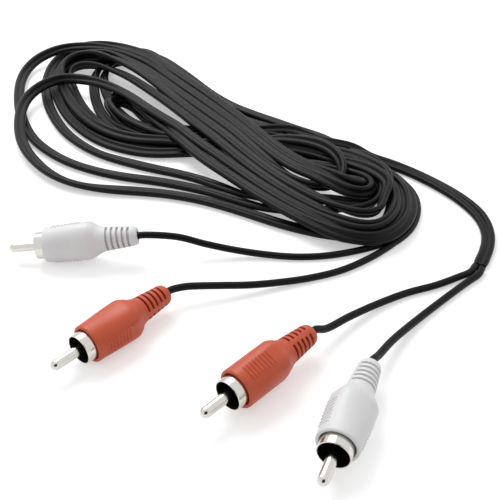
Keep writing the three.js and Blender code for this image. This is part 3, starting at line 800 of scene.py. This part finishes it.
def finish_piece(shape, plug, part, materials, crisp=35, bevel=0.0):
    """Puts a plug's piece in its place, gives it its finish and hides its CAD node"""
    name = f"{plug}_{part}"
    for face in shape.faces:
        face.smooth = True
    bmesh.ops.transform(shape, matrix=Matrix.Scale(MM, 4) @ plug_place(plug), verts=shape.verts)
    mesh = as_mesh(shape, name)
    mesh.set_sharp_from_angle(angle=math.radians(crisp))
    for material in materials:
        mesh.materials.append(material)
    piece = link(f"{name}_finished", mesh)
    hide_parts(name)
    if bevel:
        soften = piece.modifiers.new("soft edges", "BEVEL")
        soften.width = bevel * MM
        soften.segments = 2
        soften.limit_method = "ANGLE"
        soften.angle_limit = math.radians(crisp)


def store(shape, name, measure):
    """Keeps a measure of each corner of a piece for its finish"""
    layer = shape.verts.layers.float.new(name)
    for corner in shape.verts:
        corner[layer] = measure(corner)


def grip_share(y):
    """0 where the boot is round, 1 at its shoulder, where the grip faces are broadest"""
    return smooth_step(BOOT_FRONT, SHOULDER, y) * (1 - smooth_step(SHOULDER, RELIEF_START, y))


def slot_places():
    """Where each slot of the strain relief starts and ends"""
    pitch = (RELIEF_END - RELIEF_START - SLOT_WIDTH) / (SLOT_COUNT - 1)
    starts = [RELIEF_START + number * pitch for number in range(SLOT_COUNT)]
    return [(start, start + SLOT_WIDTH) for start in starts]


def bar_places():
    """Where each grip bar starts and ends"""
    middles = [BAR_FIRST + number * BAR_PITCH for number in range(BAR_COUNT)]
    return [(middle - BAR_WIDTH / 2, middle + BAR_WIDTH / 2) for middle in middles]


def boot_radius(y):
    """The round boot's outer radius, before its grip faces are shaped"""
    if y <= SHOULDER:
        share = (y - BOOT_FRONT) / (SHOULDER - BOOT_FRONT)
        return BOOT_FRONT_RADIUS + (SHOULDER_RADIUS - BOOT_FRONT_RADIUS) * share
    if y <= RELIEF_START:
        fall = smooth_step(SHOULDER, RELIEF_START, y)
        return SHOULDER_RADIUS + (RELIEF_START_RADIUS - SHOULDER_RADIUS) * fall
    share = (y - RELIEF_START) / (RELIEF_END - RELIEF_START)
    return RELIEF_START_RADIUS + (RELIEF_END_RADIUS - RELIEF_START_RADIUS) * share


def boot_profile():
    """The boot's section: its front edge, body, shoulder, strain relief, nose and bores"""
    edge = BOOT_FRONT + FRONT_ROUND
    profile = rounded((BOOT_BORE + BORE_LIP, BOOT_FRONT + BORE_LIP), BORE_LIP, 180)
    profile += rounded((BOOT_FRONT_RADIUS - FRONT_ROUND, edge), FRONT_ROUND, 270)
    places = {place for pair in bar_places() + slot_places() for place in pair}
    behind_bars = BAR_FIRST + BAR_COUNT * BAR_PITCH
    for start, end, steps in ((behind_bars, SHOULDER, BODY_STEPS),
                              (SHOULDER, RELIEF_START - SHOULDER_CLEAR, SHOULDER_STEPS)):
        places |= {float(place) for place in np.linspace(start, end, steps)}
    places.add(RELIEF_END)
    profile += [(boot_radius(place), place) for place in sorted(places)]
    nose = RELIEF_END_RADIUS - END_LIP
    for i in range(1, NOSE_STEPS + 1):
        angle = math.radians(90 * i / NOSE_STEPS)
        profile.append((END_LIP + nose * math.cos(angle),
                        RELIEF_END + (BOOT_END - RELIEF_END) * math.sin(angle)))
    profile += [
        (LEAD_BORE + MOUTH_CHAMFER, BOOT_END), (LEAD_BORE, BOOT_END - MOUTH_CHAMFER),
        (LEAD_BORE, CAVITY_BACK),
        (CAVITY_RADIUS - 1, CAVITY_BACK), (CAVITY_RADIUS, CAVITY_BACK - CAVITY_TAPER),
        (CAVITY_RADIUS, CAVITY_FRONT), (BOOT_BORE, CAVITY_FRONT)]
    return profile


def shape_grips(shape, swell, flat):
    """Turns the round boot into one with two broad faces, each with a flat panel"""
    for corner in shape.verts:
        radius = math.hypot(corner.co.x, corner.co.z)
        share = grip_share(corner.co.y)
        if radius < BOOT_BORE + FIT or share == 0:
            continue
        across, facing = corner.co.x / radius, corner.co.z / radius
        power = 2 + GRIP_SQUARENESS * share
        spread = (abs(across) ** power + abs(facing) ** power) ** (-1 / power)
        corner.co.x = across * spread * (radius - FLANK_SLIM * share)
        face = facing * spread * (radius + swell * share)
        panel = boot_radius(corner.co.y) + swell * share - flat * min(1, PANEL_RISE * share)
        corner.co.z = math.copysign(min(abs(face), panel), face)


def between(places, y):
    """Whether y lies in one of the places"""
    return any(start < y < end for start, end in places)


def cut_slots(shape, depth):
    """Grooves round the strain relief, with a spine left on each grip side"""
    places = slot_places()
    faces = []
    for face in shape.faces:
        middle = face.calc_center_median()
        outside = math.hypot(middle.x, middle.z) > CAVITY_RADIUS / 2
        if outside and between(places, middle.y) and abs(middle.x) > SPINE_HALF:
            faces.append(face)
    bmesh.ops.inset_region(shape, faces=faces, use_boundary=True, use_even_offset=True,
                           thickness=SLOT_DRAFT, depth=-depth)


def raise_bars(shape, height):
    """The bars moulded across the flat panel of each grip face"""
    places = bar_places()
    faces = []
    for face in shape.faces:
        middle = face.calc_center_median()
        outside = abs(middle.z) > BOOT_BORE + FIT
        if outside and between(places, middle.y) and abs(middle.x) < BAR_HALF:
            faces.append(face)
    bmesh.ops.inset_region(shape, faces=faces, use_boundary=True, use_even_offset=True,
                           thickness=BAR_DRAFT, depth=height)


def painted_slot_shade_share(corner):
    """How much of the slots' painted shade a corner gets: 1 down in a slot, 0 on the boot's outside
    """
    if not RELIEF_START - SLOT_MARGIN < corner.co.y < RELIEF_END + SLOT_MARGIN:
        return 0.0
    below = boot_radius(corner.co.y) - math.hypot(corner.co.x, corner.co.z)
    return smooth_step(*SLOT_SHADE, below)


def build_boot(plug, settings, material):
    """The soft boot, turned, then shaped, slotted and given its grip bars"""
    shape = turned(boot_profile(), closed=True)
    shape_grips(shape, settings.grip_swell / MM, settings.grip_flat / MM)
    cut_slots(shape, settings.slot_depth / MM)
    raise_bars(shape, settings.bar_height / MM)
    # Stores where the slots' painted shade goes, and the grip share
    store(shape, "hollow", painted_slot_shade_share)
    store(shape, "grip", lambda corner: grip_share(corner.co.y))
    finish_piece(shape, plug, "boot", [material], crisp=32, bevel=0.09)


def build_collar(plug, plate, inside):
    """The outer contact, pressed from sheet, with a rolled front rim and a folded floor"""
    wall = COLLAR_RADIUS - COLLAR_INSIDE
    rim = [(COLLAR_INSIDE + RIM_ROUND, RIM_ROUND), (COLLAR_RADIUS - RIM_ROUND, RIM_ROUND)]
    profile = rounded(rim[0], RIM_ROUND, 180) + rounded(rim[1], RIM_ROUND, 270)
    profile += rounded((COLLAR_RADIUS - wall, COLLAR_LENGTH - wall), wall, 0)
    profile += [
        (BOSS_RADIUS + FIT, COLLAR_LENGTH), (BOSS_RADIUS + FIT, COLLAR_FLOOR_FRONT),
        (COLLAR_INSIDE, COLLAR_FLOOR_FRONT)]
    shape = turned(profile, closed=True)
    # Faces of the inner wall get the second, nearly black material: painted shade inside the
    # collar's recess
    for face in shape.faces:
        middle = face.calc_center_median()
        painted_shade_face = math.hypot(middle.x, middle.z) < COLLAR_INSIDE + RIM_ROUND / 2
        face.material_index = int(painted_shade_face)
    store(shape, "axis_place", lambda corner: corner.co.y)
    finish_piece(shape, plug, "collar", [plate, inside], crisp=50)


def build_pin(plug, plate):
    """The centre pin, with its rounded tip and the cup that its wire is soldered into"""
    profile = []
    for i in range(PIN_TIP_STEPS + 1):
        angle = math.radians(90 * i / PIN_TIP_STEPS)
        profile.append((PIN_RADIUS * math.sin(angle), PIN_TIP * (1 - math.cos(angle)) - PIN_REACH))
    shoulder = SOCKET_DEPTH - FIT
    profile += [
        (PIN_RADIUS, shoulder), (PIN_STEM_RADIUS, shoulder), (PIN_STEM_RADIUS, PIN_BACK),
        (CUP_RADIUS, PIN_BACK), (CUP_RADIUS, CUP_FLOOR), (0, CUP_FLOOR)]
    shape = turned(profile)
    store(shape, "axis_place", lambda corner: corner.co.y)
    finish_piece(shape, plug, "centre_pin", [plate], crisp=50, bevel=0.06)


def build_insulator(plug, material):
    """The black disc and boss that hold the pin in the collar, with a moulded ring on its face"""
    bore, disc = PIN_STEM_RADIUS + FIT, COLLAR_INSIDE - FIT
    face, floor = SOCKET_DEPTH, SOCKET_DEPTH + GROOVE_DEPTH
    groove = [(bore + GROOVE_EDGE, face), (bore + GROOVE_FLOOR, floor),
              (disc - GROOVE_FLOOR, floor), (disc - GROOVE_EDGE, face)]
    profile = [(bore, face), *groove, (disc, face), (disc, DISC_BACK),
               (BOSS_RADIUS, DISC_BACK), (BOSS_RADIUS, CUP_FLOOR), (bore, CUP_FLOOR)]
    shape = turned(profile, closed=True)
    finish_piece(shape, plug, "insulator", [material], crisp=40, bevel=0.08)


# Settings


def length(name, description, default):
    """A size that the panel can change, given in millimetres"""
    return FloatProperty(
        name=name, description=description, default=default * MM, unit="LENGTH", precision=5)


def colour(name, description, default):
    """A colour that the panel can change"""
    return FloatVectorProperty(
        name=name, description=description, subtype="COLOR", size=3, default=default, min=0, max=1)


class CableSettings(bpy.types.PropertyGroup):
    """Sizes and colours of the cable"""

    lead_diameter: length("Lead diameter", "Across one lead's jacket", 2 * LEAD_RADIUS)
    jacket_colour: colour("Jacket", "Satin black jacket", (0.0065, 0.0067, 0.0072))


class PlugSettings(bpy.types.PropertyGroup):
    """Sizes and colours of the four plugs"""

    grip_swell: length("Grip swell", "How far the grip faces stand out at the shoulder", 0.4)
    grip_flat: length("Grip panel", "How deep the flat panel of a grip face is cut", 0.22)
    slot_depth: length("Slot depth", "Depth of the slots of the strain relief", 0.95)
    bar_height: length("Bar height", "How far the grip bars stand out", 0.28)
    red: colour("Red boot", "Skin of the red boots", (0.58, 0.085, 0.03))
    # The two slot colours are painted shade: darker colour down in the slots of the boots
    red_slot_shade: colour("Red slots", "Down in the red boots' slots", (0.3, 0.022, 0.01))
    white: colour("White boot", "Skin of the white boots", (0.79, 0.79, 0.795))
    white_slot_shade: colour("White slots", "Down in the white boots' slots", (0.62, 0.62, 0.625))
    nickel: colour("Nickel", "Plated contacts", (0.66, 0.64, 0.6))


class StageSettings(bpy.types.PropertyGroup):
    """Camera, table and light"""

    camera_place: FloatVectorProperty(
        name="Camera", description="Where the camera stands", subtype="TRANSLATION", size=3,
        default=(0.011, -0.260, 0.167))
    camera_tilt: FloatProperty(
        name="Camera tilt", description="How far the camera looks up from straight down",
        default=math.radians(53.65), subtype="ANGLE")
    camera_lens: FloatProperty(
        name="Lens", description="Focal length on a 36 mm sensor, in millimetres", default=58.4)
    lamp_power: FloatProperty(
        name="Lamp", description="Power of the soft lamp above the table", default=4.2,
        unit="POWER")
    room_light: FloatProperty(
        name="Room light", description="Light from the white room all round", default=0.62)


class CableScene(bpy.types.PropertyGroup):
    """All settings of the audio cable"""

    cable: PointerProperty(type=CableSettings)
    plugs: PointerProperty(type=PlugSettings)
    stage: PointerProperty(type=StageSettings)


# Operators


class AUDIOCABLE_OT_stage(bpy.types.Operator):
    """Sets up the camera, the white table, the room, the lamp and the black card"""

    bl_idname = "audiocable.stage"
    bl_label = "Stage"

    def execute(self, context):
        settings = context.scene.audio_cable.stage
        context.scene.view_settings.view_transform = "Standard"
        self.place_camera(context, settings)
        self.lay_table(context)
        self.light_room(context, settings)
        self.stand_card(context)
        return {"FINISHED"}

    def place_camera(self, context, settings):
        """The photo's view"""
        camera = bpy.data.cameras.new("camera")
        camera.sensor_width = SENSOR_WIDTH
        camera.lens = settings.camera_lens
        camera.clip_start = 0.01
        stand = bpy.data.objects.new("camera", camera)
        stand.location = settings.camera_place
        stand.rotation_euler = (settings.camera_tilt, 0, 0)
        context.scene.collection.objects.link(stand)
        context.scene.camera = stand

    def add_sheet(self, context, name, half):
        """A square on the stage, this far from its middle to its edges"""
        shape = bmesh.new()
        bmesh.ops.create_grid(shape, x_segments=1, y_segments=1, size=half)
        sheet = bpy.data.objects.new(name, as_mesh(shape, name))
        context.scene.collection.objects.link(sheet)
        return sheet

    def lay_table(self, context):
        """A matt white table that keeps the cable's shadow"""
        table = self.add_sheet(context, "table", TABLE_HALF)
        finish = Finish("white table")
        seen = finish.add("ShaderNodeLightPath", output="Is Camera Ray")
        mirrored = finish.add("ShaderNodeLightPath", output="Is Glossy Ray")
        glow = (seen + mirrored) * TABLE_GLOW
        finish.set(base_color=(0.8, 0.8, 0.8, 1), roughness=0.7, emission_strength=1,
                   emission_color=finish.blend(glow, (0, 0, 0, 1), (1, 1, 1, 1)))
        table.data.materials.append(finish.material)

    def light_room(self, context, settings):
        """A white room and one soft lamp"""
        world = bpy.data.worlds.new("white room")
        context.scene.world = world
        nodes = Nodes(world)
        seen = nodes.add("ShaderNodeLightPath", output="Is Camera Ray")
        mirrored = nodes.add("ShaderNodeLightPath", output="Is Glossy Ray")
        through = nodes.add("ShaderNodeLightPath", output="Is Transmission Ray")
        room = nodes.tree.nodes["Background"]
        room.inputs["Color"].default_value = (1, 1, 1, 1)
        extra = (seen + mirrored + through) * (1 - settings.room_light)
        nodes.put(room.inputs["Strength"], extra + settings.room_light)
        lamp = bpy.data.lights.new("soft lamp", "AREA")
        lamp.energy = settings.lamp_power
        lamp.size = LAMP_SIZE
        holder = bpy.data.objects.new("soft lamp", lamp)
        holder.location = LAMP_PLACE
        holder.rotation_euler = (-holder.location).to_track_quat("-Z", "Y").to_euler()
        context.scene.collection.objects.link(holder)

    def stand_card(self, context):
        """A black card in front of the cable, seen only as a reflection"""
        card = self.add_sheet(context, "black card", CARD_HALF)
        card.location = CARD_PLACE
        card.rotation_euler = (-card.location).to_track_quat("Z", "Y").to_euler()
        card.visible_camera = card.visible_diffuse = card.visible_shadow = False
        card.visible_transmission = False
        finish = Finish("black card")
        finish.set(base_color=(0.01, 0.01, 0.01, 1), roughness=1.0)
        card.data.materials.append(finish.material)


class AUDIOCABLE_OT_leads(bpy.types.Operator):
    """Lays the four single leads from their plugs to the places where they join"""

    bl_idname = "audiocable.leads"
    bl_label = "Single leads"

    def execute(self, context):
        settings = context.scene.audio_cable.cable
        jacket = jacket_finish("satin black jacket", settings.jacket_colour)
        section = round_section(settings.lead_diameter / 2 / MM)
        for name in PLUGS:
            line = lead_line(name)
            mesh = sweep(f"{name}_cord", line, section, np.zeros(len(line)))
            mesh.materials.append(jacket)
            piece = link(f"{name}_cord", mesh)
            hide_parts(f"{name}_lead")
            in_metres(line)
        return {"FINISHED"}


class AUDIOCABLE_OT_twin(bpy.types.Operator):
    """Winds the flat twin cable into its hank"""

    bl_idname = "audiocable.twin"
    bl_label = "Twin cable hank"

    def execute(self, context):
        settings = context.scene.audio_cable.cable
        jacket = jacket_finish("satin black twin jacket", settings.jacket_colour)
        line, roll = twin_line()
        section = twin_section(settings.lead_diameter / 2 / MM)
        mesh = sweep("twin_cord", line, section, roll, ends=END_SIZE)
        mesh.materials.append(jacket)
        piece = link("twin_cord", mesh)
        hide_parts("left_end_twin_cable", "twin_cable_hank", "right_end_twin_cable")
        line[0] * MM
        in_metres(line)
        return {"FINISHED"}


class AUDIOCABLE_OT_boots(bpy.types.Operator):
    """Models the four soft boots with their grip panels, bars and slotted strain reliefs"""

    bl_idname = "audiocable.boots"
    bl_label = "Boots"

    def execute(self, context):
        settings = context.scene.audio_cable.plugs
        looks = {
            # Each boot finish gets its slot colour, which is painted shade down in the slots
            "red": boot_finish("soft red plastic", settings.red, settings.red_slot_shade),
            "white": boot_finish("soft white plastic", settings.white, settings.white_slot_shade),
        }
        for plug in PLUGS:
            build_boot(plug, settings, looks[plug.split("_")[0]])
        return {"FINISHED"}


class AUDIOCABLE_OT_contacts(bpy.types.Operator):
    """Models the collars, centre pins and insulators"""

    bl_idname = "audiocable.contacts"
    bl_label = "Contacts"

    def execute(self, context):
        settings = context.scene.audio_cable.plugs
        plate = nickel_finish("bright nickel plate", settings.nickel, 0.16)
        # The collar's inner wall is nickel painted nearly black: painted shade inside the recess
        inside = nickel_finish("dull inside of the collar", (0.05, 0.048, 0.044), 0.4)
        black = plain_finish("black hard plastic", (0.03, 0.029, 0.028), 0.45, 2500)
        for plug in PLUGS:
            build_collar(plug, plate, inside)
            build_pin(plug, plate)
            build_insulator(plug, black)
        return {"FINISHED"}


class AUDIOCABLE_OT_inner_pieces(bpy.types.Operator):
    """Finishes the pieces inside the plugs, which keep their solids"""

    bl_idname = "audiocable.inner_pieces"
    bl_label = "Inner pieces"

    def execute(self, context):
        jacket = context.scene.audio_cable.cable.jacket_colour
        looks = {
            "inner_mould": plain_finish("natural hard plastic", (0.78, 0.73, 0.63), 0.5, 1800),
            "core_insulation": plain_finish("foamed plastic", (0.8, 0.78, 0.72), 0.6, 5200),
            "core_wire": plain_finish("copper core", (0.48, 0.17, 0.06), 0.35, 4000, 1.0),
            "shield_wire": plain_finish("copper shield", (0.48, 0.17, 0.06), 0.4, 6000, 1.0),
            "cable_end": jacket_finish("jacket in the boot", jacket, drawn=False),
        }
        for plug in PLUGS:
            for part, material in looks.items():
                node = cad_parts[f"{plug}_{part}"]
                node.data.materials.clear()
                node.data.materials.append(material)
        return {"FINISHED"}


class AUDIOCABLE_PT_sidebar(bpy.types.Panel):
    """Lists the settings and the operators of the audio cable"""

    bl_idname = "AUDIOCABLE_PT_sidebar"
    bl_label = "Audio cable"
    bl_space_type = "VIEW_3D"
    bl_region_type = "UI"
    bl_category = "Audio cable"

    def draw(self, context):
        """Draws the settings, then a button for each operator"""
        settings = context.scene.audio_cable
        for group in (settings.stage, settings.cable, settings.plugs):
            column = self.layout.column()
            for name in group.__annotations__:
                column.prop(group, name)
        for operator in OPERATORS:
            self.layout.operator(operator.bl_idname)


OPERATORS = (
    AUDIOCABLE_OT_stage, AUDIOCABLE_OT_leads, AUDIOCABLE_OT_twin, AUDIOCABLE_OT_boots,
    AUDIOCABLE_OT_contacts, AUDIOCABLE_OT_inner_pieces)
CLASSES = (
    CableSettings, PlugSettings, StageSettings, CableScene, *OPERATORS, AUDIOCABLE_PT_sidebar)


def register():
    """Makes the settings, the operators and the panel known"""
    for item in CLASSES:
        bpy.utils.register_class(item)
    bpy.types.Scene.audio_cable = PointerProperty(type=CableScene)


def unregister():
    """Takes them out again"""
    del bpy.types.Scene.audio_cable
    for item in reversed(CLASSES):
        bpy.utils.unregister_class(item)


def main():
    """Builds everything"""
    register()
    bpy.ops.audiocable.stage()
    bpy.ops.audiocable.leads()
    bpy.ops.audiocable.twin()
    bpy.ops.audiocable.boots()
    bpy.ops.audiocable.contacts()
    bpy.ops.audiocable.inner_pieces()


if __name__ == "__main__":
    main()
